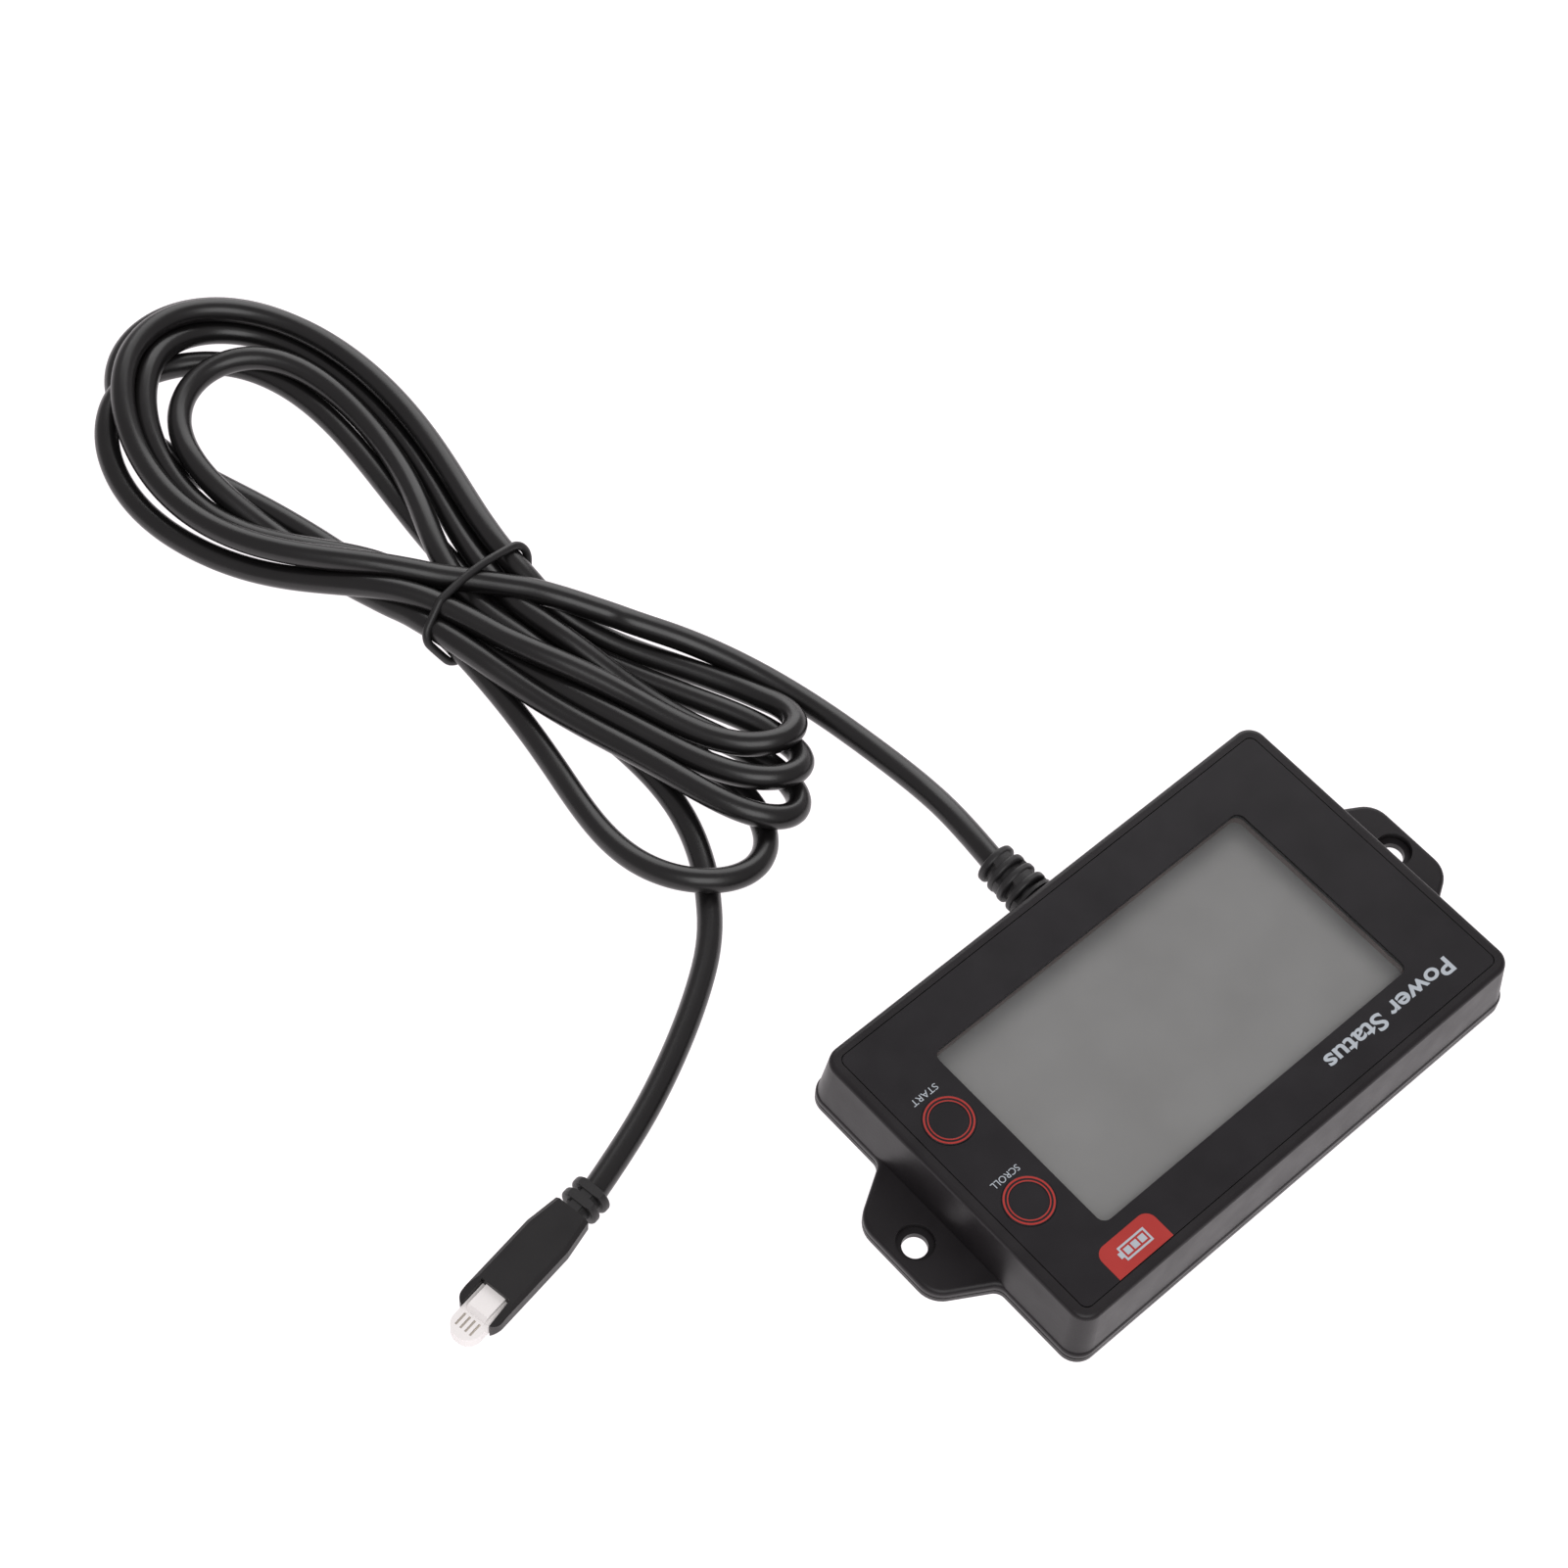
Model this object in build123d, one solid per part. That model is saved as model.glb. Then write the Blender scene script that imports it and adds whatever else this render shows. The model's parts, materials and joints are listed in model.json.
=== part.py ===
from build123d import *
import os
from math import pi, radians, tan

# Remote display for a battery monitor, lying on its back, in millimetres.
# +X is the key side, +Y the top edge of the face, +Z out of the screen; z = 0 is the back.

# ---- housing -------------------------------------------------------------
BASE_X, BASE_Y, BASE_CORNER = 102.5, 64.0, 3.6
TOP_X, TOP_Y, TOP_CORNER = 100.0, 61.4, 3.2
HEIGHT = 13.7
TOP_ROUND = 0.9
WALL = 2.0
COVER_Z = 1.4              # height of the parting line
SHIP_GAP = 0.3             # shadow line between cover and housing
CAVITY_TOP = 11.2

# ---- mounting ears -------------------------------------------------------
EAR_REACH = 61.0           # half of the overall length
EAR_HALF_TIP, EAR_HALF_ROOT = 8.6, 14.6
EAR_CORNER, EAR_ROOT_ROUND = 5.0, 2.2
EAR_THICK, EAR_EDGE_ROUND = 3.0, 0.9
MOUNT_HALF = 56.5          # from the middle to each mounting hole
MOUNT_HOLE_R, MOUNT_SINK_R, MOUNT_SINK_DEPTH = 2.2, 3.3, 1.6

# ---- face ----------------------------------------------------------------
OVERLAY_X, OVERLAY_Y, OVERLAY_CORNER, OVERLAY_THICK = 95.9, 57.5, 1.4, 0.5
OVERLAY_GAP = 0.15
WINDOW_X, WINDOW_Y, WINDOW_CORNER = 71.1, 39.7, 1.6
WINDOW_MID = (0.1, 0.3)
PANE_LIP, PANE_THICK, PANE_GAP = 1.4, 1.0, 0.1

# ---- keys ----------------------------------------------------------------
KEY_X = 41.85
KEY_Y = {"enter": -9.13, "select": 9.46}
KEY_R, KEY_GAP = 4.43, 0.06
KEY_FILM = 0.55
KEY_TRAVEL = 0.35
RIM_INNER_R, RIM_HIGH, RIM_ROUND = 3.24, 0.12, 0.08
POST_R, POST_GAP = 1.8, 0.1
SWITCH_SIDE, SWITCH_HIGH = 6.0, 3.4
STEM_R, STEM_GAP, STEM_HIGH, STEM_SINK = 1.7, 0.06, 0.8, 0.9

# ---- display and board ---------------------------------------------------
BOARD_X, BOARD_Y, BOARD_Z, BOARD_THICK = 92.0, 56.0, 4.8, 1.6
BOARD_TOP = BOARD_Z + BOARD_THICK
GLASS_X, GLASS_Y, GLASS_THICK, GLASS_TOP = 75.0, 44.0, 2.4, 10.8
GLASS_MID = (-0.5, 0.3)
FRAME_WALL, GLASS_GAP = 0.95, 0.05
STRIP_WIDE, STRIP_LONG = 2.0, 70.0
LIGHT_X, LIGHT_Y, LIGHT_THICK = 73.0, 38.5, 1.8
INLET_NOTCH_X, INLET_NOTCH_Y = 12.0, 4.4
CHIP_HALF, CHIP_THICK, CHIP_LEG_REACH = 5.0, 1.5, 6.2
LEGS, LEG_PITCH, LEG_WIDE, LEG_THICK = 10, 0.9, 0.4, 0.4
SMALL_PARTS, SMALL_X, SMALL_Y, SMALL_HIGH = 6, 2.0, 1.2, 0.9
RESISTORS_AT, RESISTOR_PITCH = (-30.0, 13.0), 5.0
CAPACITORS_AT, CAPACITOR_PITCH = (10.0, -14.0), 4.0
CANS_AT, CAN_R, CAN_HIGH = [(-20.0, 0.0), (-28.0, 0.0)], 3.0, 2.8
CRYSTAL_AT, CRYSTAL_X, CRYSTAL_Y, CRYSTAL_CORNER, CRYSTAL_HIGH = (20.0, 4.0), 9.0, 4.0, 1.6, 2.6
HEADER_MID, HEADER_X, HEADER_LOW = (0.0, -18.5), 9.2, 2.0
HEADER_WALL, HEADER_BEHIND, HEADER_AHEAD = 0.7, 1.6, 2.0
INNER_PLUG_GAP, INNER_PLUG_BEHIND = 0.1, 3.4
LEADS, LEAD_R, LEAD_PITCH, LEAD_BEND_R, LEAD_STRAIGHT = 4, 0.55, 1.5, 0.9, 2.2

# ---- fasteners -----------------------------------------------------------
CASE_SCREWS = [(x, y) for x in (-44.6, 44.6) for y in (-25.6, 25.6)]
CASE_BOSS_R = 2.7
BOARD_SCREWS = [(x, y) for x in (-22.0, 22.0) for y in (-25.7, 25.7)]
BOARD_BOSS_R = 2.0
SCREW_R, PILOT_R = 1.0, 0.97
CASE_HEAD_R, CASE_HEAD_HIGH, CASE_SCREW_LONG = 1.9, 0.9, 8.0
BOARD_HEAD_R, BOARD_HEAD_HIGH, BOARD_SCREW_LONG = 1.8, 1.2, 5.0

# ---- cord ----------------------------------------------------------------
CORD_D = 4.4
INLET_Z = 7.0
BOOT_END_Y = -41.8
BOOT_NECK_R, BOOT_FLANGE_R, BOOT_FLANGE_THICK = 3.4, 4.1, 1.3
BOOT_RIBS, BOOT_PITCH, BOOT_RIB_THICK = 4, 2.4, 1.45
BOOT_BIG_R, BOOT_SMALL_R, BOOT_CORE_R = 4.25, 3.8, 2.8
DEVICE_ROUTE = [
    (0.0, -41.8, 7.0), (-1.4, -51.4, 6.2), (-2.4, -61.5, 3.8), (-1.8, -73.0, 2.4),
    (0.1, -85.5, 2.3), (3.4, -98.0, 2.7), (8.7, -109.0, 4.6), (15.4, -117.8, 7.4),
]
PLUG_ROUTE = [
    (37.6, -72.4, 2.3), (44.6, -63.2, 2.3), (54.2, -56.2, 2.3),
    (66.0, -49.6, 2.3), (78.6, -44.0, 2.5), (89.9, -40.4, 2.8),
]
HANK_HIGH = 9.4
SADDLE_HIGH, SADDLE_X, SADDLE_Y, SADDLE_MID = 13.2, 22.0, 34.0, (31.0, -138.0)
HANK_OUTLINE = [
    (46.5, -139.0), (51.0, -151.0), (58.5, -167.0), (64.0, -183.0), (65.5, -197.0), (62.5, -211.0),
    (53.0, -223.0), (39.0, -228.0), (25.0, -221.0), (15.8, -202.0), (14.0, -181.0), (17.0, -160.0),
    (19.5, -145.0), (17.5, -131.0), (12.5, -116.0), (6.0, -100.0), (3.2, -87.0), (7.0, -76.0),
    (15.0, -67.5), (25.0, -65.0), (37.0, -65.6), (46.0, -73.5), (49.0, -90.0), (46.0, -112.0),
    (45.0, -126.0),
]
HANK_EYE = [
    (29.0, -163.0), (27.0, -182.0), (29.5, -198.0), (38.0, -205.0), (46.5, -199.0), (49.0, -184.0),
    (42.0, -163.0),
]
TIE_D, TIE_Y, TIE_MID_X, TIE_X, TIE_Z, TIE_CORNER = 1.5, -138.5, 33.3, 26.6, 12.6, 4.5

# ---- plug, in its own frame: x along the plug from the cord's end, z up ---
PLUG_START, PLUG_TURN = (89.9, -40.4, 0.0), 9.0
PLUG_AXIS_Z = 2.8
RELIEF_RIBS, RELIEF_PITCH, RELIEF_RIB_THICK = 2, 2.5, 1.6
RELIEF_R, RELIEF_CORE_R, RELIEF_LONG = 3.6, 2.25, 5.4
RELIEF_BRIDGE_Y = 2.0
BODY_LONG, BODY_REAR_Y, BODY_FRONT_Y, BODY_HIGH = 23.4, 6.8, 8.6, 5.4
BODY_TAPER_END, BODY_FRONT_R = 6.0, 1.8
BODY_BEVEL, BODY_FOOT_Y, BODY_FOOT_HIGH = 0.7, 1.4, 2.0
PRONG_LONG, PRONG_SLOPE = 5.0, 1.8
NOSE_Y, NOSE_Z, NOSE_HIGH, NOSE_LONG, NOSE_SINK, NOSE_R = 5.6, 0.9, 2.6, 9.4, 9.0, 2.6
RIB_Y, RIB_HIGH, RIB_SHORT, RIB_BEVEL = 4.0, 0.9, 4.4, 0.8
PINS, PIN_PITCH, PIN_WIDE, PIN_DEEP, PIN_GAP = 4, 1.0, 0.3, 0.8, 0.06
PIN_TIP, PIN_LONG = 1.5, 2.4


def box(low, high):
    """A box between two opposite corners."""
    size = [h - l for l, h in zip(low, high)]
    middle = [(h + l) / 2 for l, h in zip(low, high)]
    return Pos(*middle) * Box(*size)


def rod(x, y, z_low, z_high, radius):
    """An upright cylinder."""
    return Pos(x, y, (z_low + z_high) / 2) * Cylinder(radius, z_high - z_low)


def rods(places, z_low, z_high, radius):
    """The same upright cylinder at several places."""
    return Part() + [rod(x, y, z_low, z_high, radius) for x, y in places]


def rod_y(y_low, y_high, z, radius):
    """A cylinder along Y, over x = 0."""
    return Pos(0, (y_low + y_high) / 2, z) * Rot(90, 0, 0) * Cylinder(radius, y_high - y_low)


def slab(sketch, z_low, z_high):
    """A flat outline made into a plate."""
    return extrude(Pos(0, 0, z_low) * sketch, z_high - z_low)


def plate(size_x, size_y, corner, z_low, z_high, middle=(0, 0)):
    """A rounded rectangular plate."""
    return slab(Pos(*middle) * RectangleRounded(size_x, size_y, corner), z_low, z_high)


# ---- housing -------------------------------------------------------------
def ear_outline():
    """Both ears and the bar between them, with rounded tips and root corners."""
    reach, root_x = EAR_REACH, BASE_X / 2 - 0.4
    corners = [
        (root_x, EAR_HALF_ROOT), (reach, EAR_HALF_TIP), (reach, -EAR_HALF_TIP), (root_x, -EAR_HALF_ROOT),
        (-root_x, -EAR_HALF_ROOT), (-reach, -EAR_HALF_TIP), (-reach, EAR_HALF_TIP), (-root_x, EAR_HALF_ROOT),
    ]
    sketch = make_face(Polyline(*corners, close=True))
    tips = [v for v in sketch.vertices() if abs(v.X) > root_x + 1]
    return fillet(tips, EAR_CORNER)


def plan_outline():
    """What the whole case covers, seen from above."""
    sketch = RectangleRounded(BASE_X, BASE_Y, BASE_CORNER) + ear_outline()
    beside = [v for v in sketch.vertices() if abs(v.Y) < EAR_HALF_ROOT + 1]
    roots = [v for v in beside if abs(abs(v.X) - BASE_X / 2) < 0.2]
    return fillet(roots, EAR_ROOT_ROUND)


def case_block():
    """The case as one solid lump: a drafted box with two flat ears."""
    base = RectangleRounded(BASE_X, BASE_Y, BASE_CORNER)
    top = Pos(0, 0, HEIGHT) * RectangleRounded(TOP_X, TOP_Y, TOP_CORNER)
    body = loft([base.face(), top.face()])
    body = fillet(body.faces().sort_by(Axis.Z)[-1].edges(), TOP_ROUND)
    ears = slab(plan_outline(), 0, EAR_THICK)
    ears = fillet(ears.faces().sort_by(Axis.Z)[-1].edges(), EAR_EDGE_ROUND)
    return body + ears


def cavity(z_low, z_high, gap=0.0):
    """The drafted room inside the walls."""
    faces = []
    for z in (z_low, z_high):
        share = z / HEIGHT
        size_x = BASE_X + (TOP_X - BASE_X) * share - 2 * WALL - 2 * gap
        size_y = BASE_Y + (TOP_Y - BASE_Y) * share - 2 * WALL - 2 * gap
        faces.append((Pos(0, 0, z) * RectangleRounded(size_x, size_y, BASE_CORNER - WALL)).face())
    return loft(faces)


def mount_holes():
    """Both mounting holes with their sunk seats."""
    places = [(-MOUNT_HALF, 0), (MOUNT_HALF, 0)]
    through = rods(places, -1, EAR_THICK + 1, MOUNT_HOLE_R)
    seats = rods(places, EAR_THICK - MOUNT_SINK_DEPTH, EAR_THICK + 3, MOUNT_SINK_R)
    return through + seats


def front_housing(block):
    """The upper shell: walls, face wall, screw bosses and the openings in them."""
    shell = block - box((-80, -50, -1), (80, 50, COVER_Z)) - cavity(COVER_Z - 0.1, CAVITY_TOP)
    inside = cavity(COVER_Z, CAVITY_TOP + WALL / 2)
    shell += rods(CASE_SCREWS, COVER_Z, CAVITY_TOP + 0.5, CASE_BOSS_R) & inside
    shell += rods(BOARD_SCREWS, BOARD_TOP, CAVITY_TOP + 0.5, BOARD_BOSS_R) & inside
    shell -= rods(CASE_SCREWS, COVER_Z - 1, COVER_Z + CASE_SCREW_LONG, PILOT_R)
    shell -= rods(BOARD_SCREWS, BOARD_TOP - 1, BOARD_TOP + BOARD_SCREW_LONG - BOARD_THICK, PILOT_R)
    recess_z = HEIGHT - OVERLAY_THICK
    grown = 2 * OVERLAY_GAP
    shell -= plate(OVERLAY_X + grown, OVERLAY_Y + grown, OVERLAY_CORNER, recess_z, HEIGHT + 1)
    pane_x, pane_y = WINDOW_X + 2 * (PANE_LIP + PANE_GAP), WINDOW_Y + 2 * (PANE_LIP + PANE_GAP)
    shell -= plate(pane_x, pane_y, WINDOW_CORNER + PANE_LIP, recess_z - PANE_THICK, HEIGHT, WINDOW_MID)
    shell -= plate(WINDOW_X + 0.4, WINDOW_Y + 0.4, WINDOW_CORNER, CAVITY_TOP - 1, HEIGHT, WINDOW_MID)
    for y in KEY_Y.values():
        shell -= rod(KEY_X, y, recess_z - KEY_TRAVEL - 0.2, HEIGHT, KEY_R + KEY_GAP)
        shell -= rod(KEY_X, y, CAVITY_TOP - 1, HEIGHT, POST_R + POST_GAP)
    shell -= rod_y(-BASE_Y / 2 - 1, -BASE_Y / 2 + WALL + 1.5, INLET_Z, BOOT_NECK_R)
    return shell - mount_holes()


def back_cover(block):
    """The flat back: the lower slice of the case, a locating lip and four sunk screw seats."""
    cover = block & box((-80, -50, 0), (80, 50, COVER_Z))
    wide = Rectangle(140, 90)
    gap_ring = wide - offset(plan_outline(), amount=-SHIP_GAP - 0.1)
    cover -= slab(gap_ring, COVER_Z - SHIP_GAP, COVER_Z + 1)
    lip = cavity(COVER_Z, COVER_Z + 1.2, gap=0.15) - cavity(COVER_Z - 0.1, COVER_Z + 1.3, gap=1.2)
    lip -= rods(CASE_SCREWS, 0, 5, CASE_BOSS_R + 0.3)
    lip -= box((-BOOT_FLANGE_R - 0.5, -BASE_Y / 2, 0), (BOOT_FLANGE_R + 0.5, 0, HEIGHT))
    cover += lip
    cover -= rods(CASE_SCREWS, -1, COVER_Z + 1, SCREW_R + 0.1)
    cover -= rods(CASE_SCREWS, -1, CASE_HEAD_HIGH, CASE_HEAD_R + 0.15)
    return cover - mount_holes()


def screws(places, head_low, head_high, head_r, tip_z):
    """One screw at each place, driven upwards: a head with a cross slot and a shank."""
    made = []
    for x, y in places:
        screw = rod(x, y, head_low, head_high, head_r) + rod(x, y, head_high, tip_z, PILOT_R)
        for turn in (0, 90):
            slot = Pos(x, y, head_low) * Rot(0, 0, turn) * Box(head_r * 1.3, 0.45, 0.9)
            screw -= slot
        made.append(screw)
    return Compound(children=made)


# ---- face ----------------------------------------------------------------
def faceplate_overlay():
    """The printed film, cut out for the window and the two keys."""
    film = plate(OVERLAY_X, OVERLAY_Y, OVERLAY_CORNER, HEIGHT - OVERLAY_THICK, HEIGHT)
    film -= plate(WINDOW_X, WINDOW_Y, WINDOW_CORNER, HEIGHT - 2, HEIGHT + 1, WINDOW_MID)
    for y in KEY_Y.values():
        film -= rod(KEY_X, y, HEIGHT - 2, HEIGHT + 1, KEY_R + KEY_GAP)
    return film


def display_window():
    """The clear pane that the overlay traps over the display."""
    size_x, size_y = WINDOW_X + 2 * PANE_LIP, WINDOW_Y + 2 * PANE_LIP
    top = HEIGHT - OVERLAY_THICK
    return plate(size_x, size_y, WINDOW_CORNER + PANE_LIP - PANE_GAP, top - PANE_THICK, top, WINDOW_MID)


def key_pad(y):
    """A disc of film with a raised ring round its edge and a post under it."""
    pad = rod(KEY_X, y, HEIGHT - KEY_FILM, HEIGHT, KEY_R)
    ring = rod(KEY_X, y, HEIGHT - RIM_HIGH, HEIGHT + RIM_HIGH, KEY_R)
    ring -= rod(KEY_X, y, HEIGHT - 1, HEIGHT + 1, RIM_INNER_R)
    ring = fillet(ring.edges().filter_by(GeomType.CIRCLE).group_by(Axis.Z)[-1], RIM_ROUND)
    post = rod(KEY_X, y, BOARD_TOP + SWITCH_HIGH + STEM_HIGH, HEIGHT - KEY_FILM, POST_R)
    return pad + ring + post


def switch_base(y):
    """The square case of a board switch, bored for its stem."""
    half = SWITCH_SIDE / 2
    top = BOARD_TOP + SWITCH_HIGH
    base = box((KEY_X - half, y - half, BOARD_TOP), (KEY_X + half, y + half, top))
    base = chamfer(base.edges().filter_by(Axis.Z), 0.4)
    return base - rod(KEY_X, y, top - STEM_SINK - KEY_TRAVEL - 0.1, top + 1, STEM_R + STEM_GAP)


def switch_stem(y):
    """The round button of a board switch."""
    top = BOARD_TOP + SWITCH_HIGH
    return rod(KEY_X, y, top - STEM_SINK, top + STEM_HIGH, STEM_R)


# ---- display and board ---------------------------------------------------
def glass_plate(grow, z_low, z_high):
    """A plate with the outline of the display glass, grown all round."""
    return plate(GLASS_X + 2 * grow, GLASS_Y + 2 * grow, 0.4 + max(grow, 0), z_low, z_high, GLASS_MID)


def lcd_gasket():
    """The foam frame between the glass and the face wall."""
    hole = plate(WINDOW_X + 0.8, WINDOW_Y + 0.8, WINDOW_CORNER, 0, HEIGHT, WINDOW_MID)
    return glass_plate(0.3, GLASS_TOP, CAVITY_TOP) - hole


def lcd_frame():
    """The frame that holds glass, light panel and contact strips on the board."""
    outer = glass_plate(FRAME_WALL + GLASS_GAP, BOARD_TOP, GLASS_TOP)
    return outer - glass_plate(GLASS_GAP, 0, HEIGHT)


def contact_strips():
    """The two rubber strips that join the glass to the board."""
    x_low, x_high = GLASS_MID[0] - STRIP_LONG / 2, GLASS_MID[0] + STRIP_LONG / 2
    low, high = BOARD_TOP, GLASS_TOP - GLASS_THICK
    made = []
    for side in (-1, 1):
        y = GLASS_MID[1] + side * (GLASS_Y - STRIP_WIDE) / 2
        made.append(box((x_low, y - STRIP_WIDE / 2, low), (x_high, y + STRIP_WIDE / 2, high)))
    return Compound(children=made)


def circuit_board():
    """The board, notched for the corner bosses and the cord's inlet."""
    board = plate(BOARD_X, BOARD_Y, 1.0, BOARD_Z, BOARD_TOP)
    board -= rods(CASE_SCREWS, 0, HEIGHT, CASE_BOSS_R + 0.4)
    for x, y in CASE_SCREWS:
        far_x, far_y = 60 * (1 if x > 0 else -1), 40 * (1 if y > 0 else -1)
        board -= box((min(x, far_x), min(y, far_y), 0), (max(x, far_x), max(y, far_y), HEIGHT))
    board -= rods(BOARD_SCREWS, 0, HEIGHT, SCREW_R + 0.1)
    edge = -BOARD_Y / 2
    return board - box((-INLET_NOTCH_X / 2, edge - 1, 0), (INLET_NOTCH_X / 2, edge + INLET_NOTCH_Y, HEIGHT))


def microcontroller():
    """The square chip under the board with its rows of legs."""
    block = box((-CHIP_HALF, -CHIP_HALF, BOARD_Z - CHIP_THICK), (CHIP_HALF, CHIP_HALF, BOARD_Z - 0.1))
    chip = chamfer(block.edges().group_by(Axis.Z)[0], 0.3)
    half, reach, low = LEG_WIDE / 2, CHIP_LEG_REACH, BOARD_Z - LEG_THICK
    for i in range(LEGS):
        step = (i - (LEGS - 1) / 2) * LEG_PITCH
        chip += box((step - half, -reach, low), (step + half, reach, BOARD_Z))
        chip += box((-reach, step - half, low), (reach, step + half, BOARD_Z))
    return chip


def board_components():
    """Small parts under the board: capacitors, resistors and a crystal."""
    made = [rod(x, y, BOARD_Z - CAN_HIGH, BOARD_Z, CAN_R) for x, y in CANS_AT]
    made.append(plate(CRYSTAL_X, CRYSTAL_Y, CRYSTAL_CORNER, BOARD_Z - CRYSTAL_HIGH, BOARD_Z, CRYSTAL_AT))
    for (start_x, y), pitch in ((RESISTORS_AT, RESISTOR_PITCH), (CAPACITORS_AT, CAPACITOR_PITCH)):
        for i in range(SMALL_PARTS):
            x = start_x + i * pitch
            made.append(box((x, y, BOARD_Z - SMALL_HIGH), (x + SMALL_X, y + SMALL_Y, BOARD_Z)))
    return Compound(children=made)


# ---- cord inlet ----------------------------------------------------------
def lead_x(i):
    """Where the i-th of the four leads runs."""
    return HEADER_MID[0] + (i - (LEADS - 1) / 2) * LEAD_PITCH


def cable_header():
    """The socket under the board that takes the cord's inner plug."""
    x, y = HEADER_MID
    half, room = HEADER_X / 2, HEADER_X / 2 - HEADER_WALL
    shell = box((x - half, y - HEADER_BEHIND, HEADER_LOW), (x + half, y + HEADER_AHEAD, BOARD_Z))
    low, high = HEADER_LOW + 0.5, BOARD_Z - 0.5
    return shell - box((x - room, y - HEADER_BEHIND - 1, low), (x + room, y + 1.2, high))


def cable_header_plug():
    """The small plug on the cord's four leads, seated in the header."""
    x, y = HEADER_MID
    half, low = HEADER_X / 2 - HEADER_WALL - INNER_PLUG_GAP, HEADER_LOW + 0.6
    plug = box((x - half, y - INNER_PLUG_BEHIND, low), (x + half, y + 1.1, BOARD_Z - 0.6))
    return chamfer(plug.edges().filter_by(Axis.Y), 0.2)


def inner_leads():
    """Four leads from the cord's end, down past the board's edge and into the plug."""
    start_y = inner_end_y()
    drop_y = start_y + LEAD_STRAIGHT
    z = (HEADER_LOW + BOARD_Z) / 2
    made = []
    for i in range(LEADS):
        x = lead_x(i)
        places = [(start_y, INLET_Z), (drop_y, INLET_Z), (drop_y, z), (HEADER_MID[1] - INNER_PLUG_BEHIND, z)]
        line = FilletPolyline(*[(x, y, height) for y, height in places], radius=LEAD_BEND_R)
        made.append(sweep(Plane(line @ 0, z_dir=line % 0) * Circle(LEAD_R), path=line))
    return Compound(children=made)


def inner_end_y():
    """Where the boot's inner flange ends, just clear of the drafted wall."""
    wall_y = -(BASE_Y / 2 - (BASE_Y - TOP_Y) / 2 * CAVITY_TOP / HEIGHT) + WALL
    return wall_y + BOOT_FLANGE_THICK + 0.1


def wall_face_y():
    """The outer face of the drafted wall, at the lowest point of the boot's base."""
    return -(BASE_Y / 2 - (BASE_Y - TOP_Y) / 2 * (INLET_Z - BOOT_BIG_R) / HEIGHT)


def bridged_gap(y_low, y_high, radius, across):
    """What fills the space between two ribs: a core and two webs, side by side or one over the other."""
    core = rod_y(y_low, y_high, INLET_Z, BOOT_CORE_R)
    size = (radius * 0.9, radius * 2) if across else (radius * 2, radius * 0.9)
    web = box((-size[0] / 2, y_low, INLET_Z - size[1] / 2), (size[0] / 2, y_high, INLET_Z + size[1] / 2))
    return core + (web & rod_y(y_low, y_high, INLET_Z, radius * 0.96))


def cable_boot():
    """The moulded bend relief: a flange inside the wall, a neck through it and four ribs outside."""
    flange_y = inner_end_y() - BOOT_FLANGE_THICK
    boot = rod_y(flange_y, inner_end_y(), INLET_Z, BOOT_FLANGE_R)
    boot += rod_y(BOOT_END_Y + 1, flange_y, INLET_Z, BOOT_CORE_R)
    boot += rod_y(wall_face_y() - 0.5, flange_y, INLET_Z, BOOT_NECK_R - 0.02)
    boot += rod_y(BOOT_END_Y + BOOT_RIBS * BOOT_PITCH - 0.2, wall_face_y() - 0.02, INLET_Z, BOOT_BIG_R)
    for i in range(BOOT_RIBS):
        y = BOOT_END_Y + i * BOOT_PITCH
        radius = BOOT_SMALL_R + (BOOT_BIG_R - BOOT_SMALL_R) * i / (BOOT_RIBS - 1)
        rib = rod_y(y, y + BOOT_RIB_THICK, INLET_Z, radius)
        boot += fillet(rib.edges().filter_by(GeomType.CIRCLE), 0.5)
        boot += bridged_gap(y + BOOT_RIB_THICK - 0.3, y + BOOT_PITCH + 0.3, radius, across=i % 2 == 0)
    return boot


# ---- cord ----------------------------------------------------------------
def cord_tube(name, route):
    """A tube of straight runs joined by the largest arcs that the runs allow."""
    points = [Vector(*p) for p in route]
    radii = []
    for before, here, after in zip(points, points[1:], points[2:]):
        turn = (here - before).get_angle(after - here)
        shorter = min((here - before).length, (after - here).length)
        radii.append(0.45 * shorter / tan(radians(turn) / 2))
    line = FilletPolyline(*points, radius=radii)
    tube = sweep(Plane(line @ 0, z_dir=line % 0) * Circle(CORD_D / 2), path=line)
    ideal = line.length * pi * CORD_D ** 2 / 4
    share = round(tube.volume / ideal, 4)
    print(name, "radii", [round(r, 1) for r in radii], "length", round(line.length, 1), "volume share", share)
    return tube


def tie_outline(grow):
    """The tie's centreline, grown or shrunk all round: a rounded rectangle that stands across the hank."""
    middle = Pos(TIE_MID_X, TIE_Y, TIE_Z / 2) * Rot(90, 0, 0)
    return middle * RectangleRounded(TIE_X + 2 * grow, TIE_Z - TIE_D + 2 * grow, TIE_CORNER + grow)


def tie_ring():
    """The wire tie: one turn of round wire."""
    outline = tie_outline(0).wire()
    section = Plane(outline.position_at(0), z_dir=outline.tangent_at(0)) * Circle(TIE_D / 2)
    return sweep(section, path=outline)


def tie_waist():
    """What the tie squeezes away from the hank: everything outside the wire, over the wire's width."""
    squeezed = extrude(tie_outline(-TIE_D / 2 - 0.05), TIE_D / 2 + 0.1, both=True)
    around = Pos(TIE_MID_X, TIE_Y, TIE_Z / 2) * Box(3 * TIE_X, TIE_D + 0.2, 3 * TIE_Z)
    return around - squeezed


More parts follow.
